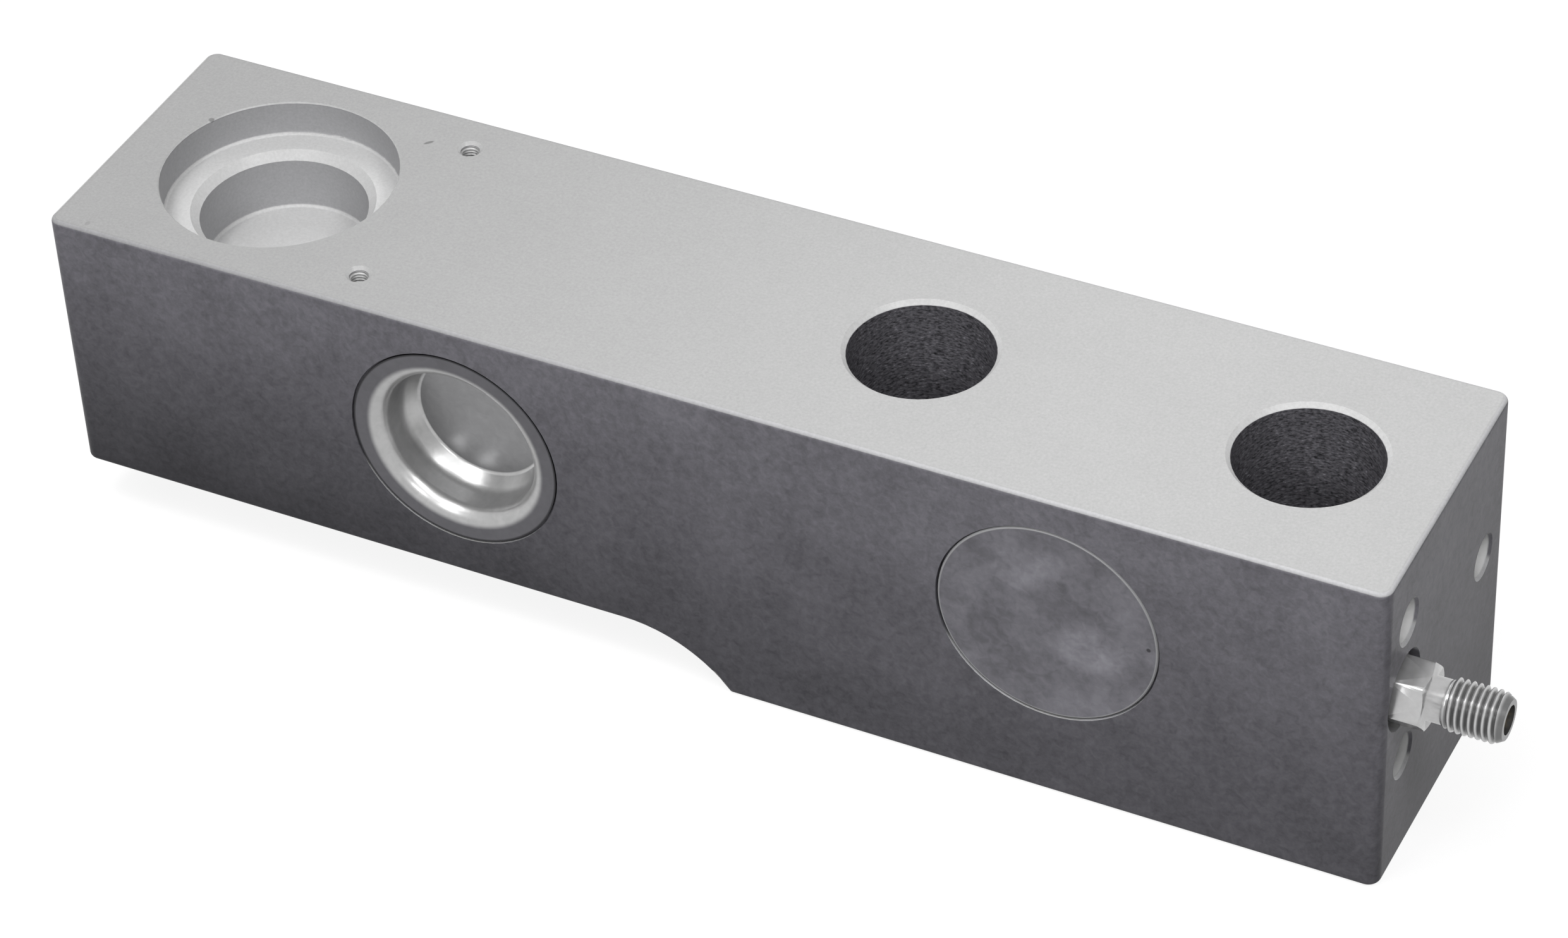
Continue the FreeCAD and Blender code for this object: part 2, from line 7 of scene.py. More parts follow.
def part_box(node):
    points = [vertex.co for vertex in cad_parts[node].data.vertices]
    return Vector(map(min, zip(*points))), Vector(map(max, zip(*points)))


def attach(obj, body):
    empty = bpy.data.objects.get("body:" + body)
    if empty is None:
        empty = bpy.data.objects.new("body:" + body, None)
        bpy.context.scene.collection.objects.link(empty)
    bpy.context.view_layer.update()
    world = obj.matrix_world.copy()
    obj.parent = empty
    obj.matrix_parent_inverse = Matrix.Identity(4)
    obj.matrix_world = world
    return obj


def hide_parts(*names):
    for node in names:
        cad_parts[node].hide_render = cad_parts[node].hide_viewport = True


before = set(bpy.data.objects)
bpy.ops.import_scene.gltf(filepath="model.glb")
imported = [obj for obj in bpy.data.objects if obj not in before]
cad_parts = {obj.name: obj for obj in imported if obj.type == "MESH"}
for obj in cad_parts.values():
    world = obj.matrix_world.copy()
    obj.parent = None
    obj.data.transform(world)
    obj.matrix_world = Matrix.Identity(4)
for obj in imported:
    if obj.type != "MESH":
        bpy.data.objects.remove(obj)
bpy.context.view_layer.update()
print("frame loaded:", len(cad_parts), "nodes")

# the main places in metres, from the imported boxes
beamLow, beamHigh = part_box("beam_body")
topZ = beamHigh.z
loadX = beamLow.x + 0.0267
gaugeX = beamLow.x + 0.0685
tapX = beamLow.x + 0.0505
cupLow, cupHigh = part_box("front_sealing_cup")
cupZ = (cupLow.z + cupHigh.z) / 2
coverLow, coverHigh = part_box("cavity_cover")
coverX, coverZ = (coverLow.x + coverHigh.x) / 2, (coverLow.z + coverHigh.z) / 2
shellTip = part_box("connector_shell")[1].x
ringLow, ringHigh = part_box("connector_seal_ring")
fittingY, fittingZ = (ringLow.y + ringHigh.y) / 2, (ringLow.z + ringHigh.z) / 2

shot = {
    "place": (0.2244667, -0.5145323, 0.5116206),
    "right": (0.8951177, 0.4438274, -0.0422080),
    "down": (0.2554212, -0.5881157, -0.7673852),
    "forward": (-0.3654098, 0.6761192, -0.6397957),
    "lens": 116.483,
    "sensor": 36.0,
    "clip": (0.01, 40.0),
}


def link(name, data):
    piece = bpy.data.objects.new(name, data)
    bpy.context.scene.collection.objects.link(piece)
    return piece


def makeCamera(s):
    data = bpy.data.cameras.new("camera")
    camera = link("camera", data)
    turn = Matrix((Vector(s["right"]), -Vector(s["down"]), -Vector(s["forward"]))).transposed()
    camera.matrix_world = Matrix.Translation(s["place"]) @ turn.to_4x4()
    data.sensor_width = s["sensor"]
    data.lens = s["lens"]
    data.clip_start, data.clip_end = s["clip"]
    bpy.context.scene.camera = camera


makeCamera(shot)
bpy.context.scene.view_settings.view_transform = "Standard"
print("camera placed")


# helpers for shader and geometry trees
def plug(tree, socket, value):
    if isinstance(value, bpy.types.NodeSocket):
        tree.links.new(value, socket)
    else:
        socket.default_value = value


def addNode(tree, kind, sockets=None, **settings):
    node = tree.nodes.new(kind)
    for name, value in settings.items():
        setattr(node, name, value)
    for key, value in (sockets or {}).items():
        plug(tree, node.inputs[key], value)
    return node


def calc(tree, operation, *values, clamp=False):
    sockets = dict(enumerate(values))
    return addNode(tree, "ShaderNodeMath", sockets, operation=operation, use_clamp=clamp).outputs[0]


def vectorCalc(tree, operation, *values, out=0):
    sockets = dict(enumerate(values))
    return addNode(tree, "ShaderNodeVectorMath", sockets, operation=operation).outputs[out]


def split(tree, vector):
    return addNode(tree, "ShaderNodeSeparateXYZ", {0: vector}).outputs


def join(tree, *parts):
    return addNode(tree, "ShaderNodeCombineXYZ", dict(enumerate(parts))).outputs[0]


def hypotenuse(tree, first, second):
    squares = [calc(tree, "POWER", side, 2.0) for side in (first, second)]
    return calc(tree, "SQRT", calc(tree, "ADD", *squares))


def distanceFrom(tree, place, centre, axes):
    offset = vectorCalc(tree, "MULTIPLY", vectorCalc(tree, "SUBTRACT", place, centre), axes)
    return vectorCalc(tree, "LENGTH", offset, out=1)


def ramp(tree, value, low, high, outLow=0.0, outHigh=1.0, smooth=True):
    sockets = {"Value": value, "From Min": low, "From Max": high, "To Min": outLow, "To Max": outHigh}
    kind = "SMOOTHSTEP" if smooth else "LINEAR"
    return addNode(tree, "ShaderNodeMapRange", sockets, interpolation_type=kind).outputs[0]


def between(tree, mask, low, high):
    return ramp(tree, mask, 0.0, 1.0, low, high)


def mixValue(tree, amount, first, second):
    return addNode(tree, "ShaderNodeMix", {0: amount, 2: first, 3: second}).outputs[0]


def mixColour(tree, amount, first, second):
    node = addNode(tree, "ShaderNodeMix", {0: amount}, data_type="RGBA")
    for index, colour in ((6, first), (7, second)):
        plug(tree, node.inputs[index], (*colour, 1.0) if isinstance(colour, tuple) else colour)
    return node.outputs[2]


def scaleColour(tree, colour, factor):
    return addNode(tree, "ShaderNodeVectorMath", {0: colour, "Scale": factor}, operation="SCALE").outputs[0]


def toned(tree, tone, strength, start=1.0):
    return calc(tree, "ADD", start, calc(tree, "MULTIPLY", tone, strength))


def addNoise(tree, vector, scale, **sockets):
    return addNode(tree, "ShaderNodeTexNoise", {"Vector": vector, "Scale": scale, **sockets}).outputs[0]


def newGroup(name, inputs, outputs, kind="ShaderNodeTree"):
    tree = bpy.data.node_groups.new(name, kind)
    for label, sort, value in inputs:
        socket = tree.interface.new_socket(name=label, in_out="INPUT", socket_type="NodeSocket" + sort)
        if value is not None:
            socket.default_value = value
    for label, sort in outputs:
        tree.interface.new_socket(name=label, in_out="OUTPUT", socket_type="NodeSocket" + sort)
    return tree, tree.nodes.new("NodeGroupInput").outputs, tree.nodes.new("NodeGroupOutput").inputs


def useGroup(tree, group, **sockets):
    return addNode(tree, "ShaderNodeGroup", sockets, node_tree=group).outputs


# shared effects, each a group; every tone lies around zero
mottleMix = {"wideScale": 0.12, "smallShare": 0.6, "wideShare": 0.4}
spotEdge = (1.15, 0.6)
grainDepth = 0.00004


def makeGrain():
    tree, given, made = newGroup("fineGrain", [("Vector", "Vector", None), ("Cell", "Float", 0.0004)],
                                 [("Tone", "Float"), ("Height", "Float")])
    scale = calc(tree, "DIVIDE", 1.0, given["Cell"])
    noise = addNoise(tree, given["Vector"], scale, Detail=3.0, Roughness=0.65)
    plug(tree, made["Tone"], calc(tree, "SUBTRACT", noise, 0.5))
    plug(tree, made["Height"], noise)
    return tree


def makeMottle():
    # small patches with others about eight times as wide
    tree, given, made = newGroup("softMottle", [("Vector", "Vector", None), ("Patch", "Float", 0.002)],
                                 [("Tone", "Float")])
    scale = calc(tree, "DIVIDE", 1.0, given["Patch"])
    small = addNoise(tree, given["Vector"], scale, Detail=2.0, Roughness=0.55, Distortion=0.6)
    wideScale = calc(tree, "MULTIPLY", scale, mottleMix["wideScale"])
    wide = addNoise(tree, given["Vector"], wideScale, Detail=1.0)
    both = calc(tree, "ADD", calc(tree, "MULTIPLY", small, mottleMix["smallShare"]),
                calc(tree, "MULTIPLY", wide, mottleMix["wideShare"]))
    plug(tree, made["Tone"], calc(tree, "SUBTRACT", both, 0.5))
    return tree


def makeTurnedLines():
    # fine streaks round a vertical line through Centre; a larger Reach makes them shorter
    tree, given, made = newGroup("turnedLines", [("Vector", "Vector", None), ("Centre", "Vector", None),
                                                 ("Pitch", "Float", 0.0003), ("Reach", "Float", 2.0)],
                                 [("Tone", "Float"), ("Distance", "Float")])
    parts = split(tree, vectorCalc(tree, "SUBTRACT", given["Vector"], given["Centre"]))
    distance = hypotenuse(tree, parts[0], parts[1])
    around = [calc(tree, "MULTIPLY", calc(tree, "DIVIDE", p, distance), given["Reach"]) for p in parts[:2]]
    along = calc(tree, "DIVIDE", calc(tree, "ADD", parts[2], distance), given["Pitch"])
    noise = addNoise(tree, join(tree, *around, along), 1.0, Detail=2.5, Roughness=0.6)
    plug(tree, made["Tone"], calc(tree, "SUBTRACT", noise, 0.5))
    plug(tree, made["Distance"], distance)
    return tree


def makeSpot():
    # a soft mark, stretched along Lean (a unit vector) by Stretch
    tree, given, made = newGroup("spotMark", [("Vector", "Vector", None), ("Centre", "Vector", None),
                                              ("Radius", "Float", 0.0005), ("Lean", "Vector", None),
                                              ("Stretch", "Float", 1.0)], [("Mask", "Float")])
    offset = vectorCalc(tree, "SUBTRACT", given["Vector"], given["Centre"])
    along = vectorCalc(tree, "DOT_PRODUCT", offset, given["Lean"], out=1)
    whole = vectorCalc(tree, "LENGTH", offset, out=1)
    square = calc(tree, "SUBTRACT", calc(tree, "POWER", whole, 2.0), calc(tree, "POWER", along, 2.0))
    across = calc(tree, "SQRT", calc(tree, "MAXIMUM", square, 0.0))
    size = hypotenuse(tree, across, calc(tree, "DIVIDE", along, given["Stretch"]))
    share = calc(tree, "DIVIDE", size, given["Radius"])
    plug(tree, made["Mask"], ramp(tree, share, *spotEdge))
    return tree


fineGrain, softMottle, turnedLines, spotMark = makeGrain(), makeMottle(), makeTurnedLines(), makeSpot()


def newMaterial(name, **values):
    material = bpy.data.materials.new(name)
    material.use_nodes = True
    tree = material.node_tree
    shader = tree.nodes["Principled BSDF"]
    for key, value in values.items():
        shader.inputs[key.replace("_", " ")].default_value = value
    place = tree.nodes.new("ShaderNodeTexCoord").outputs["Object"]
    return material, tree, shader, place


# lightens or darkens a colour at single marks: centre, radius, lean, stretch, change
def spotted(tree, place, colour, marks):
    for centre, radius, lean, stretch, change in marks:
        mark = useGroup(tree, spotMark, Vector=place, Centre=centre, Radius=radius, Lean=lean,
                        Stretch=stretch)
        colour = scaleColour(tree, colour, toned(tree, mark["Mask"], change))
    return colour


def bump(tree, shader, height, strength, distance):
    node = addNode(tree, "ShaderNodeBump", {"Height": height, "Strength": strength, "Distance": distance})
    plug(tree, shader.inputs["Normal"], node.outputs[0])


# the bar's plated steel, with darker bores; painted light and shade: the top is coloured lighter than the
# sides and the end holes are painted pale
# pairs say where a mask starts and where it is full; in rows of four, the last two are the tones there
bar = {
    # painted light and shade: the top's colour is about twice the sides', lit and shaded copies of one
    # plating
    "litTopColour": (0.355, 0.355, 0.355),
    "shadedSideColour": (0.172, 0.168, 0.187),
    # painted highlight on the broken edges and chamfers
    "rimHighlightColour": (0.54, 0.54, 0.54),
    "edgeColour": (0.42, 0.42, 0.43),
    # partly painted light: the seat's floor is coloured lighter than its wall
    "seatFloorColour": (0.52, 0.52, 0.52),
    "seatWallColour": (0.405, 0.405, 0.415),
    "boreColour": (0.120, 0.117, 0.129),
    # painted reflection: the end holes' walls are coloured pale
    "holeColour": (0.80, 0.80, 0.80),
    "roughness": 0.34,
    "topSpecular": 0.3,
    "sideSpecular": 0.05,
    "grainCell": 0.00045,
    "grainTone": 0.4,
    "mottlePatch": 0.0014,
    "sideMottle": 1.2,
    "topMottle": 0.12,
    "topLean": (0.35, 0.5),
    # painted shade and light: gradients on the top, the sides and the end face
    "topSlope": (-0.165, 0.02, 0.80, 1.17),
    "sideSpan": (0.006, 0.052),
    "sideFoot": (-0.15, 0.0, 0.30, 0.78),
    "sideHead": 1.28,
    "endLean": (0.6, 0.9),
    "endShade": 0.86,
    "edgeLean": (0.42, 0.55),
    "edgeFlat": (0.985, 0.93),
    "edgeMargin": 0.002,
    "seatEdge": (0.0188, 0.0184),
    "seatDepth": (0.0001, 0.0004),
    "seatGrainTone": 0.35,
    "boreEdge": (0.0114, 0.0111),
    "boreDepth": (0.0006, 0.0008),
    "boreFoot": (0.0003, 0.0008),
    "borePitch": 0.0003,
    "boreReach": 16.0,
    "boreTone": 3.8,
    "boreLeast": 0.2,
    "boreFleck": (0.16, 0.22, 0.0, 1.2),
    "holeRadius": 0.00345,
    "holeDepth": (0.0003, 0.0006),
    "holeStart": 0.03,
    "bump": 0.35,
}
boreXs = (-0.03, 0.03)
endHoles = ((-0.0154, 0.01885), (-0.0154, 0.04395), (0.0154, 0.0314))
topMarks = (
    ((-0.1208, 0.0159, topZ), 0.0003, (0.67, 0.74, 0), 3.0, -0.6),
    ((-0.1549, 0.0079, topZ), 0.0005, (1, 0, 0), 1.0, -0.5),
    ((-0.1583, -0.0224, topZ), 0.0004, (0, 1, 0), 1.6, -0.2),
)


def makeBarSteel(s):
    material, tree, shader, place = newMaterial("satinSteel", Roughness=s["roughness"])
    grain = useGroup(tree, fineGrain, Vector=place, Cell=s["grainCell"])
    mottle = useGroup(tree, softMottle, Vector=place, Patch=s["mottlePatch"])["Tone"]
    facing = split(tree, tree.nodes.new("ShaderNodeNewGeometry").outputs["Normal"])
    spot = split(tree, place)
    onTop = ramp(tree, facing[2], *s["topLean"])
    mottleTone = calc(tree, "MULTIPLY", between(tree, onTop, 1.0, s["topMottle"]), s["sideMottle"])
    tone = calc(tree, "ADD", toned(tree, grain["Tone"], s["grainTone"]),
                calc(tree, "MULTIPLY", mottle, mottleTone))
    # painted shade: the sides grow darker downwards, most at the load end, and the end face darker still;
    # painted light: the top grows lighter towards the fitting end
    foot = ramp(tree, spot[0], *s["sideFoot"])
    rise = ramp(tree, spot[2], *s["sideSpan"], smooth=False)
    side = calc(tree, "ADD", calc(tree, "MULTIPLY", foot, calc(tree, "SUBTRACT", 1.0, rise)),
                calc(tree, "MULTIPLY", rise, s["sideHead"]))
    onEnd = ramp(tree, facing[0], *s["endLean"])
    side = calc(tree, "MULTIPLY", side, between(tree, onEnd, 1.0, s["endShade"]))
    shade = mixValue(tree, onTop, side, ramp(tree, spot[0], *s["topSlope"]))
    # painted light and shade: the top takes the lit colour, the sides the shaded one
    colour = mixColour(tree, onTop, s["shadedSideColour"], s["litTopColour"])
    # the turned load seat is bare metal, and partly painted light: its floor is coloured lighter than its
    # wall, and lighter than the top to make up for the shade it lies in
    fromLoad = distanceFrom(tree, place, (loadX, 0, 0), (1, 1, 0))
    inSeat = calc(tree, "MULTIPLY", ramp(tree, fromLoad, *s["seatEdge"]),
                  ramp(tree, spot[2], *[topZ - depth for depth in s["seatDepth"]]))
    seatColour = mixColour(tree, onTop, s["seatWallColour"], s["seatFloorColour"])
    colour = mixColour(tree, inSeat, colour, seatColour)
    shade = mixValue(tree, inSeat, shade, 1.0)
    tone = mixValue(tree, inSeat, tone, toned(tree, grain["Tone"], s["seatGrainTone"]))
    # painted highlight: broken edges, chamfers and the corners of the seat are coloured bright, as if
    # catching the light
    lean = calc(tree, "ABSOLUTE", facing[2])
    edge = calc(tree, "MULTIPLY", ramp(tree, lean, *s["edgeLean"]), ramp(tree, lean, *s["edgeFlat"]))
    inner = calc(tree, "LESS_THAN", calc(tree, "ABSOLUTE", spot[1]), beamHigh.y - s["edgeMargin"])
    inner = calc(tree, "MULTIPLY", inner, calc(tree, "LESS_THAN", spot[0], beamHigh.x - s["edgeMargin"]))
    colour = mixColour(tree, edge, colour, mixColour(tree, inner, s["edgeColour"], s["rimHighlightColour"]))
    colour = scaleColour(tree, colour, calc(tree, "MULTIPLY", tone, shade))
    colour = spotted(tree, place, colour, topMarks)
    # bore walls, speckled
    inside = calc(tree, "MULTIPLY", ramp(tree, spot[2], *[topZ - depth for depth in s["boreDepth"]]),
                  ramp(tree, spot[2], *s["boreFoot"]))
    for x in boreXs:
        lines = useGroup(tree, turnedLines, Vector=place, Centre=(x, 0, 0), Pitch=s["borePitch"],
                         Reach=s["boreReach"])
        wall = calc(tree, "MULTIPLY", inside, ramp(tree, lines["Distance"], *s["boreEdge"]))
        speckle = calc(tree, "MAXIMUM", toned(tree, lines["Tone"], s["boreTone"]), s["boreLeast"])
        speckle = calc(tree, "ADD", speckle, ramp(tree, lines["Tone"], *s["boreFleck"]))
        colour = mixColour(tree, wall, colour, scaleColour(tree, s["boreColour"], speckle))
    # reamed end holes, their walls painted pale: a painted reflection of the bright light inside them
    inHole = 0.0
    for y, z in endHoles:
        away = distanceFrom(tree, place, (0, y, z), (0, 1, 1))
        inHole = calc(tree, "MAXIMUM", inHole, calc(tree, "LESS_THAN", away, s["holeRadius"]))
    inHole = calc(tree, "MULTIPLY", inHole,
                  ramp(tree, spot[0], *[beamHigh.x - depth for depth in s["holeDepth"]]))
    inHole = calc(tree, "MULTIPLY", inHole, calc(tree, "GREATER_THAN", spot[0], s["holeStart"]))
    plug(tree, shader.inputs["Base Color"], mixColour(tree, inHole, colour, s["holeColour"]))
    specular = between(tree, onTop, s["sideSpecular"], s["topSpecular"])
    plug(tree, shader.inputs["Specular IOR Level"], specular)
    bump(tree, shader, grain["Height"], s["bump"], grainDepth)
    return material


# the pressed cups: a rougher flange round a polished dish, with a dark seam at the flange's edge; painted
# reflection: the flange and the dish's floor are coloured darker than the dish's wall, standing in for dark
# reflections
cups = {
    # painted reflection: the flange and the dish's floor are coloured darker than the dish
    "shadedFlangeColour": (0.115, 0.113, 0.123),
    "dishColour": (0.44, 0.44, 0.44),
    "floorColour": (0.26, 0.26, 0.265),
    "floorRadius": 0.0106,
    "floorBlend": (-0.0002, 0.0001),
    "rimRadius": 0.0151,
    "rimBlend": 0.001,
    "seamReach": (0.0004, 0.0001),
    "seamTone": 0.25,
    "mottlePatch": 0.0015,
    "mottleTone": 0.5,
    "metal": 0.8,
    "roughness": 0.3,
    "rimRoughness": 0.42,
    "roughnessBlend": 0.0018,
}


def makeCupSteel(s):
    material, tree, shader, place = newMaterial("polishedSteel", Metallic=s["metal"])
    distance = distanceFrom(tree, place, (gaugeX, 0, cupZ), (1, 0, 1))
    # painted reflection: a dark flange and a darker floor round the brighter dish wall
    onFlange = ramp(tree, distance, s["rimRadius"] - s["rimBlend"], s["rimRadius"])
    colour = mixColour(tree, onFlange, s["dishColour"], s["shadedFlangeColour"])
    offFloor = ramp(tree, distance, *[s["floorRadius"] + reach for reach in s["floorBlend"]])
    colour = mixColour(tree, offFloor, s["floorColour"], colour)
    mottle = useGroup(tree, softMottle, Vector=place, Patch=s["mottlePatch"])["Tone"]
    flangeRadius = (cupHigh.x - cupLow.x) / 2
    seam = ramp(tree, distance, *[flangeRadius - reach for reach in s["seamReach"]], 1.0, s["seamTone"])
    shade = calc(tree, "MULTIPLY", toned(tree, mottle, s["mottleTone"]), seam)
    plug(tree, shader.inputs["Base Color"], scaleColour(tree, colour, shade))
    rim = ramp(tree, distance, s["rimRadius"] - s["roughnessBlend"], s["rimRadius"])
    plug(tree, shader.inputs["Roughness"], between(tree, rim, s["roughness"], s["rimRoughness"]))
    return material


cover = {
    "colour": (0.235, 0.23, 0.255),
    "edgeColour": (0.45, 0.45, 0.46),
    "edgeReach": (0.01675, 0.0169),
    "roughness": 0.42,
    "specular": 0.12,
    "widePatch": 0.005,
    "wideTone": 1.4,
    "smallPatch": 0.0012,
    "grainCell": 0.0005,
    "bump": 0.2,
}
coverMarks = (
    ((0.0078, beamLow.y, 0.0300), 0.0050, (0.9, 0, 0.44), 1.2, 0.30),
    ((-0.0030, beamLow.y, 0.0415), 0.0040, (0.9, 0, 0.44), 1.6, 0.20),
    ((-0.0168, beamLow.y, 0.0284), 0.0006, (1, 0, 0), 1.0, -0.8),
    ((0.0160, beamLow.y, 0.0330), 0.0004, (1, 0, 0), 1.0, -0.7),
)


def makeCoverSteel(s):
    material, tree, shader, place = newMaterial("coverSteel", Roughness=s["roughness"],
                                                Specular_IOR_Level=s["specular"])
    wide = useGroup(tree, softMottle, Vector=place, Patch=s["widePatch"])["Tone"]
    small = useGroup(tree, softMottle, Vector=place, Patch=s["smallPatch"])["Tone"]
    colour = scaleColour(tree, s["colour"], calc(tree, "ADD", toned(tree, wide, s["wideTone"]), small))
    # the turned edge is bare
    ring = ramp(tree, distanceFrom(tree, place, (coverX, 0, coverZ), (1, 0, 1)), *s["edgeReach"])
    colour = mixColour(tree, ring, colour, s["edgeColour"])
    plug(tree, shader.inputs["Base Color"], spotted(tree, place, colour, coverMarks))
    grain = useGroup(tree, fineGrain, Vector=place, Cell=s["grainCell"])
    bump(tree, shader, grain["Height"], s["bump"], grainDepth)
    return material


nickel = {
    "colour": (0.52, 0.52, 0.52),
    "metal": 0.65,
    "roughness": 0.24,
    "rootRadius": 0.0034,
    "crestRadius": 0.0038,
    "rootShade": 0.3,
    "threadStart": (0.0089, 0.0082),
    "mottlePatch": 0.0012,
    "mottleTone": 0.4,
    "mottleRoughness": 0.15,
}


def makeNickel(s):
    material, tree, shader, place = newMaterial("brightNickel", Metallic=s["metal"])
    mottle = useGroup(tree, softMottle, Vector=place, Patch=s["mottlePatch"])["Tone"]
    # painted shade: the thread grows darker towards its roots
    fromAxis = distanceFrom(tree, place, (0, fittingY, fittingZ), (0, 1, 1))
    threaded = ramp(tree, split(tree, place)[0], *[shellTip - reach for reach in s["threadStart"]])
    depth = ramp(tree, fromAxis, s["rootRadius"], s["crestRadius"], s["rootShade"], 1.0)
    colour = scaleColour(tree, s["colour"], toned(tree, mottle, s["mottleTone"]))
    colour = scaleColour(tree, colour, mixValue(tree, threaded, 1.0, depth))
    plug(tree, shader.inputs["Base Color"], colour)
    plug(tree, shader.inputs["Roughness"], toned(tree, mottle, s["mottleRoughness"], s["roughness"]))
    return material


# plainer finishes: name -> colour, metal, roughness, grain cell, tone
smallFinishes = {
    "sealRubber": ((0.012, 0.012, 0.012), 0.0, 0.55, 0.0006, 0.3),
    "sealGlass": ((0.05, 0.09, 0.08), 0.0, 0.12, 0.001, 0.2),
    "pinGold": ((0.75, 0.55, 0.22), 1.0, 0.25, 0.0004, 0.1),
    "gaugeFilm": ((0.62, 0.33, 0.07), 0.0, 0.35, 0.0008, 0.15),
    "gaugeFoil": ((0.62, 0.56, 0.48), 1.0, 0.35, 0.0004, 0.15),
    "terminalLaminate": ((0.70, 0.62, 0.36), 0.0, 0.5, 0.0005, 0.2),
    "solderPads": ((0.72, 0.70, 0.66), 1.0, 0.32, 0.0004, 0.2),
    "bareWire": ((0.75, 0.70, 0.62), 1.0, 0.3, 0.0003, 0.15),
    "wireInsulation": ((0.68, 0.67, 0.62), 0.0, 0.4, 0.0006, 0.1),
    "boardLaminate": ((0.03, 0.18, 0.08), 0.0, 0.3, 0.0007, 0.2),
    "standoffBrass": ((0.74, 0.55, 0.25), 1.0, 0.35, 0.0004, 0.15),
    "screwSteel": ((0.50, 0.50, 0.50), 1.0, 0.35, 0.0004, 0.2),
    "threadSteel": ((0.36, 0.36, 0.36), 0.3, 0.4, 0.0004, 0.2),
    "resistorCeramic": ((0.03, 0.03, 0.03), 0.0, 0.45, 0.0004, 0.2),
    "resistorWinding": ((0.40, 0.24, 0.12), 1.0, 0.4, 0.0003, 0.3),
}
smallBump, smallDepthShare = 0.15, 0.1


def makeSmallFinish(name, colour, metal, roughness, cell, tone):
    material, tree, shader, place = newMaterial(name, Metallic=metal, Roughness=roughness)
    grain = useGroup(tree, fineGrain, Vector=place, Cell=cell)
    plug(tree, shader.inputs["Base Color"], scaleColour(tree, colour, toned(tree, grain["Tone"], tone)))
    bump(tree, shader, grain["Height"], smallBump, cell * smallDepthShare)
    return material


finishes = {name: makeSmallFinish(name, *values) for name, values in smallFinishes.items()}
finishes["satinSteel"] = makeBarSteel(bar)
finishes["polishedSteel"] = makeCupSteel(cups)
finishes["coverSteel"] = makeCoverSteel(cover)
finishes["brightNickel"] = makeNickel(nickel)

# finish -> the nodes that wear it
nodeFinishes = {
    "satinSteel": ["beam_body"],
    "polishedSteel": ["front_sealing_cup", "back_sealing_cup"],
    "coverSteel": ["cavity_cover"],
    "sealRubber": ["connector_seal_ring"],
    "sealGlass": ["connector_glass_seal"],
    "pinGold": ["connector_pins"],
    "gaugeFilm": ["front_gauge_film", "back_gauge_film"],
    "gaugeFoil": ["front_gauge_grid", "back_gauge_grid"],
    "terminalLaminate": ["front_terminal_strip", "back_terminal_strip"],
    "solderPads": ["front_terminal_pads", "back_terminal_pads", "board_solder_pads"],
    "bareWire": ["front_jumper_wires", "back_jumper_wires"],
    "wireInsulation": ["front_lead_wires", "back_lead_wires", "connector_lead_wires"],
    "boardLaminate": ["balance_board"],
    "standoffBrass": ["board_standoffs"],
    "screwSteel": ["board_screws"],
    "resistorCeramic": ["trimming_resistors"],
    "resistorWinding": ["temperature_resistor"],
    "brightNickel": ["connector_shell"],
}
for finish, nodeNames in nodeFinishes.items():
    for nodeName in nodeNames:
        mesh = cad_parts[nodeName].data
        mesh.materials.clear()
        mesh.materials.append(finishes[finish])
print("materials made:", len(finishes))


# a helical thread as a closed ring: the threaded side, both ends and a plain back wall
threadSteps, backRows = 10.0, 3.0
# keeps a whole count of turns from rounding down
countGuard = 0.001
# the shares of a flank where the ridge starts and is full
flank = (0.12, 0.85)
weld, leastEdge = 1e-6, 1e-7
threadSharpAngle, shellSharpAngle = 40, 28


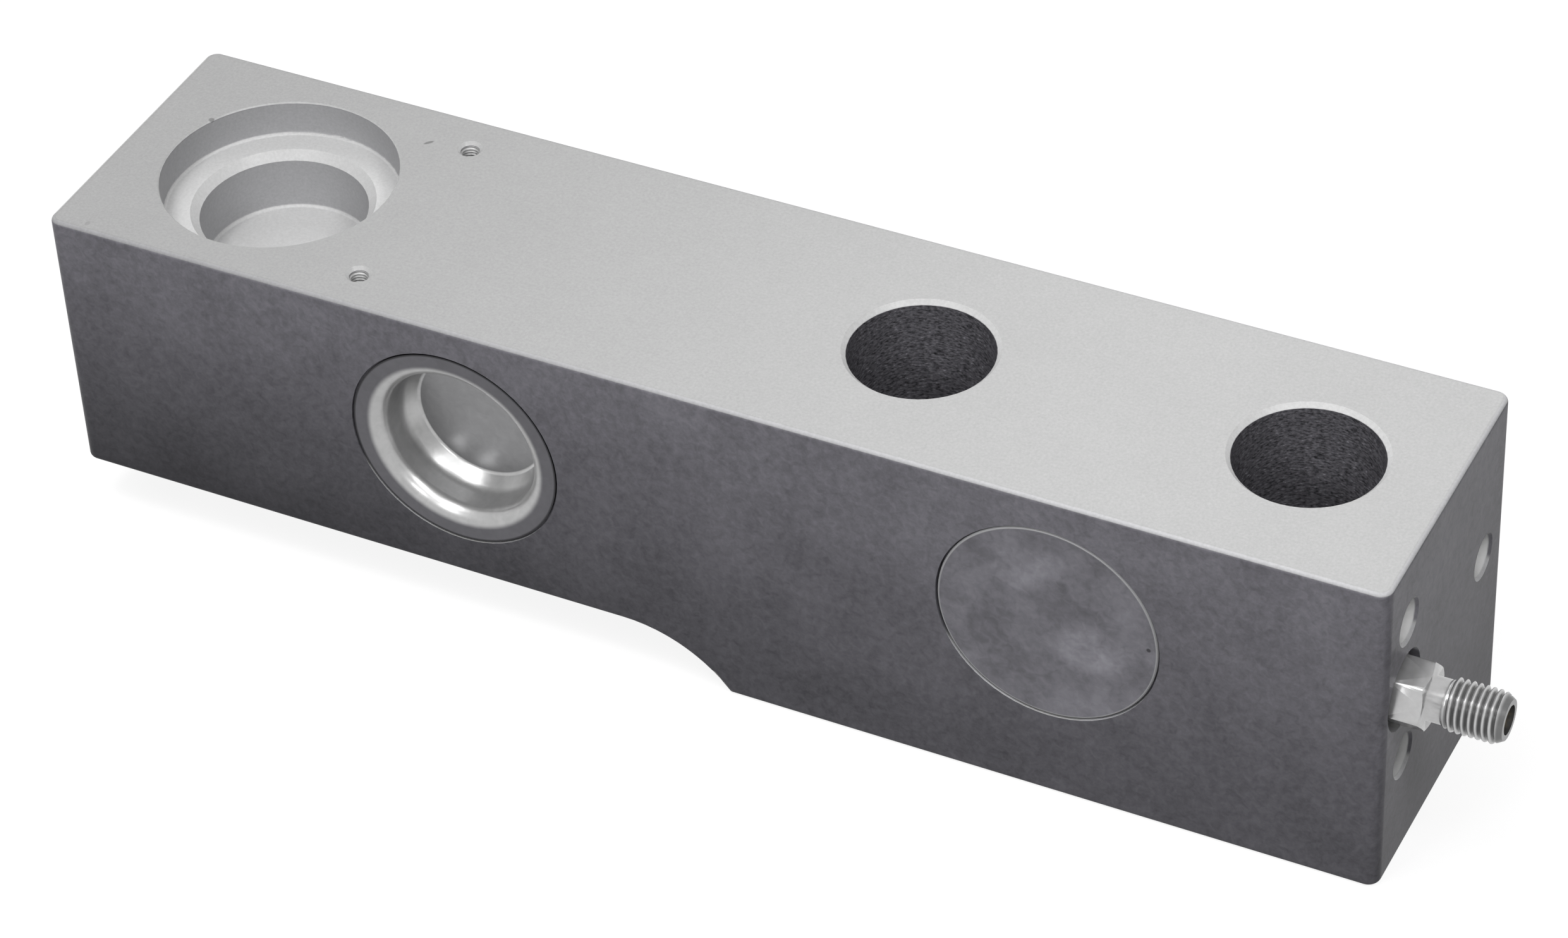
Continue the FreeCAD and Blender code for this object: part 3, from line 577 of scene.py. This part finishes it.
def makeThreadTree():
    tree, given, made = newGroup("screwThread", [
        ("Geometry", "Geometry", None), ("Length", "Float", 0.008), ("Pitch", "Float", 0.001),
        ("Root Radius", "Float", 0.0033), ("Ridge", "Float", 0.0006), ("Back Radius", "Float", 0.0025),
        ("Run In", "Float", 0.0006), ("Run Out", "Float", 0.0006), ("Tip Radius", "Float", 0.003),
        ("Tip Length", "Float", 0.0014), ("Columns", "Int", 65), ("Finish", "Material", None),
    ], [("Geometry", "Geometry")], "GeometryNodeTree")
    turns = calc(tree, "CEIL", calc(tree, "DIVIDE", given["Length"], given["Pitch"]))
    front = calc(tree, "ADD", calc(tree, "MULTIPLY", calc(tree, "ADD", turns, 1.0), threadSteps), 1.0)
    rows = calc(tree, "ADD", front, backRows)
    grid = addNode(tree, "GeometryNodeMeshGrid", {"Size X": 1.0, "Size Y": 1.0, "Vertices X": rows,
                                                  "Vertices Y": given["Columns"]})
    place = split(tree, tree.nodes.new("GeometryNodeInputPosition").outputs[0])
    row = calc(tree, "ROUND", calc(tree, "MULTIPLY", calc(tree, "ADD", place[0], 0.5),
                                   calc(tree, "SUBTRACT", rows, 1.0)))
    turn = calc(tree, "ADD", place[1], 0.5)
    count = calc(tree, "DIVIDE", row, threadSteps)
    run = calc(tree, "SUBTRACT", calc(tree, "ADD", count, turn), 1.0)
    run = calc(tree, "MULTIPLY", given["Pitch"], run)
    along = calc(tree, "MINIMUM", calc(tree, "MAXIMUM", run, 0.0), given["Length"])
    phase = calc(tree, "FRACT", calc(tree, "ADD", count, countGuard))
    slope = calc(tree, "SUBTRACT", calc(tree, "MULTIPLY", phase, 2.0), 1.0)
    wave = calc(tree, "SUBTRACT", 1.0, calc(tree, "ABSOLUTE", slope))
    crest = ramp(tree, wave, *flank, smooth=False)
    left = calc(tree, "SUBTRACT", given["Length"], along)
    fadeIn = calc(tree, "DIVIDE", along, given["Run In"], clamp=True)
    fadeOut = calc(tree, "DIVIDE", left, given["Run Out"], clamp=True)
    ridge = calc(tree, "MULTIPLY", calc(tree, "MULTIPLY", crest, given["Ridge"]),
                 calc(tree, "MULTIPLY", fadeIn, fadeOut))
    radius = calc(tree, "ADD", given["Root Radius"], ridge)
    full = calc(tree, "ADD", given["Root Radius"], calc(tree, "MAXIMUM", given["Ridge"], 0.0))
    share = calc(tree, "DIVIDE", left, given["Tip Length"], clamp=True)
    cone = calc(tree, "MULTIPLY", share, calc(tree, "SUBTRACT", full, given["Tip Radius"]))
    radius = calc(tree, "MINIMUM", radius, calc(tree, "ADD", given["Tip Radius"], cone))
    # the back rows go along the back wall and close on the first
    atBack, pastFar, closing = [calc(tree, "GREATER_THAN", row, calc(tree, "ADD", front, past))
                                for past in (-0.5, 0.5, 1.5)]
    backRadius = mixValue(tree, closing, given["Back Radius"], given["Root Radius"])
    radius = mixValue(tree, atBack, radius, backRadius)
    backAlong = calc(tree, "MULTIPLY", given["Length"], calc(tree, "SUBTRACT", 1.0, pastFar))
    along = mixValue(tree, atBack, along, backAlong)
    angle = calc(tree, "MULTIPLY", turn, 2 * math.pi)
    spot = join(tree, calc(tree, "MULTIPLY", radius, calc(tree, "COSINE", angle)),
                calc(tree, "MULTIPLY", radius, calc(tree, "SINE", angle)), along)
    moved = addNode(tree, "GeometryNodeSetPosition", {"Geometry": grid.outputs[0], "Position": spot})
    merged = addNode(tree, "GeometryNodeMergeByDistance", {"Geometry": moved.outputs[0], "Distance": weld})
    real = addNode(tree, "GeometryNodeRealizeInstances", {"Geometry": merged.outputs[0]})
    painted = addNode(tree, "GeometryNodeSetMaterial", {"Geometry": real.outputs[0],
                                                        "Material": given["Finish"]})
    plug(tree, made["Geometry"], painted.outputs[0])
    return tree


def runTree(name, tree, values):
    holder = link(name + ".holder", bpy.data.meshes.new(name + ".seed"))
    modifier = holder.modifiers.new("made", "NODES")
    modifier.node_group = tree
    for item in tree.interface.items_tree:
        if item.in_out == "INPUT" and item.name in values:
            modifier[item.identifier] = values[item.name]
    bpy.context.view_layer.update()
    depsgraph = bpy.context.evaluated_depsgraph_get()
    mesh = bpy.data.meshes.new_from_object(holder.evaluated_get(depsgraph), depsgraph=depsgraph)
    holder.modifiers.remove(modifier)
    bpy.data.objects.remove(holder)
    mesh.name = name
    return mesh


# writes the mended mesh back, with sharp edges past the angle, and counts the edges left open
def closeMesh(work, mesh, sharpAngle):
    bmesh.ops.recalc_face_normals(work, faces=work.faces)
    openEdges = sum(1 for e in work.edges if len(e.link_faces) != 2)
    work.to_mesh(mesh)
    work.free()
    mesh.shade_smooth()
    mesh.set_sharp_from_angle(angle=math.radians(sharpAngle))
    print(mesh.name, len(mesh.polygons), "faces,", openEdges, "open edges")


def tidyThread(mesh):
    work = bmesh.new()
    work.from_mesh(mesh)
    bmesh.ops.remove_doubles(work, verts=work.verts, dist=weld)
    bmesh.ops.dissolve_degenerate(work, edges=work.edges, dist=leastEdge)
    closeMesh(work, mesh, threadSharpAngle)


threadTree = makeThreadTree()
plugThread = {
    "Length": 0.00896,
    "Pitch": 0.001,
    "Root Radius": 0.00333,
    "Ridge": 0.00057,
    "Back Radius": 0.0022,
    "Run In": 0.0009,
    "Run Out": 0.0004,
    "Tip Radius": 0.00305,
    "Tip Length": 0.0014,
    "Columns": 73,
}
# the taps' tip radius is wider than their wall, so they end without a cone
tapThread = {
    "Length": 0.0074,
    "Pitch": 0.0005,
    "Root Radius": 0.00148,
    "Ridge": -0.00024,
    "Back Radius": 0.00156,
    "Run In": 0.0003,
    "Run Out": 0.0003,
    "Tip Radius": 0.01,
    "Tip Length": 0.0001,
    "Columns": 41,
}
tapYs = {"frontTapThread": -0.017, "backTapThread": 0.017}
tapStart = 0.0006


def makePlugThread(s):
    mesh = runTree("connectorThread", threadTree, dict(s, Finish=finishes["brightNickel"]))
    # from the tree's +Z to the part's +X, with the free end at the connector's tip
    turn = Matrix.Rotation(math.pi / 2, 4, "Y")
    mesh.transform(Matrix.Translation((shellTip - s["Length"], fittingY, fittingZ)) @ turn)
    tidyThread(mesh)
    return link("connectorThread", mesh)


def makeShellBack(cutX):
    work = bmesh.new()
    work.from_mesh(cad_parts["connector_shell"].data)
    bmesh.ops.remove_doubles(work, verts=work.verts, dist=weld)
    geometry = work.verts[:] + work.edges[:] + work.faces[:]
    bmesh.ops.bisect_plane(work, geom=geometry, dist=weld, plane_co=(cutX, 0, 0), plane_no=(1, 0, 0),
                           clear_outer=True)
    rim = [e for e in work.edges if len(e.link_faces) == 1]
    bmesh.ops.triangle_fill(work, edges=rim, use_beauty=True)
    mesh = bpy.data.meshes.new("connectorShell")
    mesh.materials.append(finishes["brightNickel"])
    closeMesh(work, mesh, shellSharpAngle)
    return link("connectorShell", mesh)


connectorThread = makePlugThread(plugThread)
connectorShell = makeShellBack(shellTip - plugThread["Length"])
for piece in (connectorThread, connectorShell):
    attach(piece, "root")
    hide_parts("connector_shell")


def makeTapThreads(s):
    # the two small tapped holes in the top
    for name, y in tapYs.items():
        mesh = runTree(name, threadTree, dict(s, Finish=finishes["threadSteel"]))
        mesh.transform(Matrix.Translation((tapX, y, topZ - tapStart - s["Length"])))
        tidyThread(mesh)
        piece = link(name, mesh)
        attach(piece, "root")


makeTapThreads(tapThread)


# floor, world and lamps
studio = {
    "floorSize": 16.0,
    "floorHeight": -0.0001,
    "floorColour": 0.18,
    "floorGlow": 0.87,
    "worldSeen": 1.0,
    "worldLight": 0.05,
}


def grey(value):
    return (value, value, value, 1.0)


def seenRay(tree):
    path = tree.nodes.new("ShaderNodeLightPath").outputs
    both = calc(tree, "MAXIMUM", path["Is Camera Ray"], path["Is Glossy Ray"])
    return calc(tree, "MAXIMUM", both, path["Is Transmission Ray"])


def makeStudio(s):
    half, z = s["floorSize"] / 2, s["floorHeight"]
    mesh = bpy.data.meshes.new("floor")
    corners = [(-half, -half, z), (half, -half, z), (half, half, z), (-half, half, z)]
    mesh.from_pydata(corners, [], [(0, 1, 2, 3)])
    material = bpy.data.materials.new("paleFloor")
    material.use_nodes = True
    tree = material.node_tree
    tree.nodes.clear()
    diffuse = addNode(tree, "ShaderNodeBsdfDiffuse", {"Color": grey(s["floorColour"])})
    strength = calc(tree, "MULTIPLY", seenRay(tree), s["floorGlow"])
    glow = addNode(tree, "ShaderNodeEmission", {"Color": grey(1.0), "Strength": strength})
    total = addNode(tree, "ShaderNodeAddShader", {0: diffuse.outputs[0], 1: glow.outputs[0]})
    addNode(tree, "ShaderNodeOutputMaterial", {"Surface": total.outputs[0]})
    mesh.materials.append(material)
    link("floor", mesh)
    world = bpy.data.worlds.new("studio")
    bpy.context.scene.world = world
    world.use_nodes = True
    tree = world.node_tree
    background = tree.nodes["Background"].inputs
    plug(tree, background["Color"], grey(1.0))
    strength = toned(tree, seenRay(tree), s["worldSeen"] - s["worldLight"], s["worldLight"])
    plug(tree, background["Strength"], strength)


makeStudio(studio)

aim = Vector((-0.055, 0.0, 0.03))
# azimuth 0 is in front of the -Y side and 90 off the connector end; power in watts
lamps = {
    "backSoftbox": {"azimuth": 207, "elevation": 46, "distance": 1.2, "size": (0.9, 0.7), "power": 5.5},
    "overhead": {"azimuth": -120, "elevation": 80, "distance": 1.0, "size": (0.4, 0.4), "power": 1.4},
    "highStrip": {"azimuth": 12, "elevation": 63, "distance": 1.0, "size": (0.9, 0.4), "power": 3.0},
    "highLeft": {"azimuth": -36, "elevation": 68, "distance": 1.0, "size": (0.25, 0.25), "power": 2.4},
    "right": {"azimuth": 67, "elevation": 51, "distance": 1.1, "size": (0.24, 0.24), "power": 3.0},
    "lowRight": {"azimuth": 22, "elevation": 31, "distance": 1.0, "size": (0.18, 0.18), "power": 1.3},
    "lowFront": {"azimuth": -15, "elevation": 38, "distance": 1.0, "size": (0.18, 0.18), "power": 1.3},
}


def makeLamps(lampSet):
    for name, s in lampSet.items():
        data = bpy.data.lights.new(name, "AREA")
        data.shape = "RECTANGLE"
        data.size, data.size_y = s["size"]
        data.energy = s["power"]
        azimuth, elevation = math.radians(s["azimuth"]), math.radians(s["elevation"])
        level = math.cos(elevation)
        away = Vector((math.sin(azimuth) * level, -math.cos(azimuth) * level, math.sin(elevation)))
        lamp = link(name, data)
        lamp.location = aim + away * s["distance"]
        lamp.rotation_euler = (-away).to_track_quat("-Z", "Y").to_euler()


makeLamps(lamps)
print("studio lit:", len(lamps), "lamps")
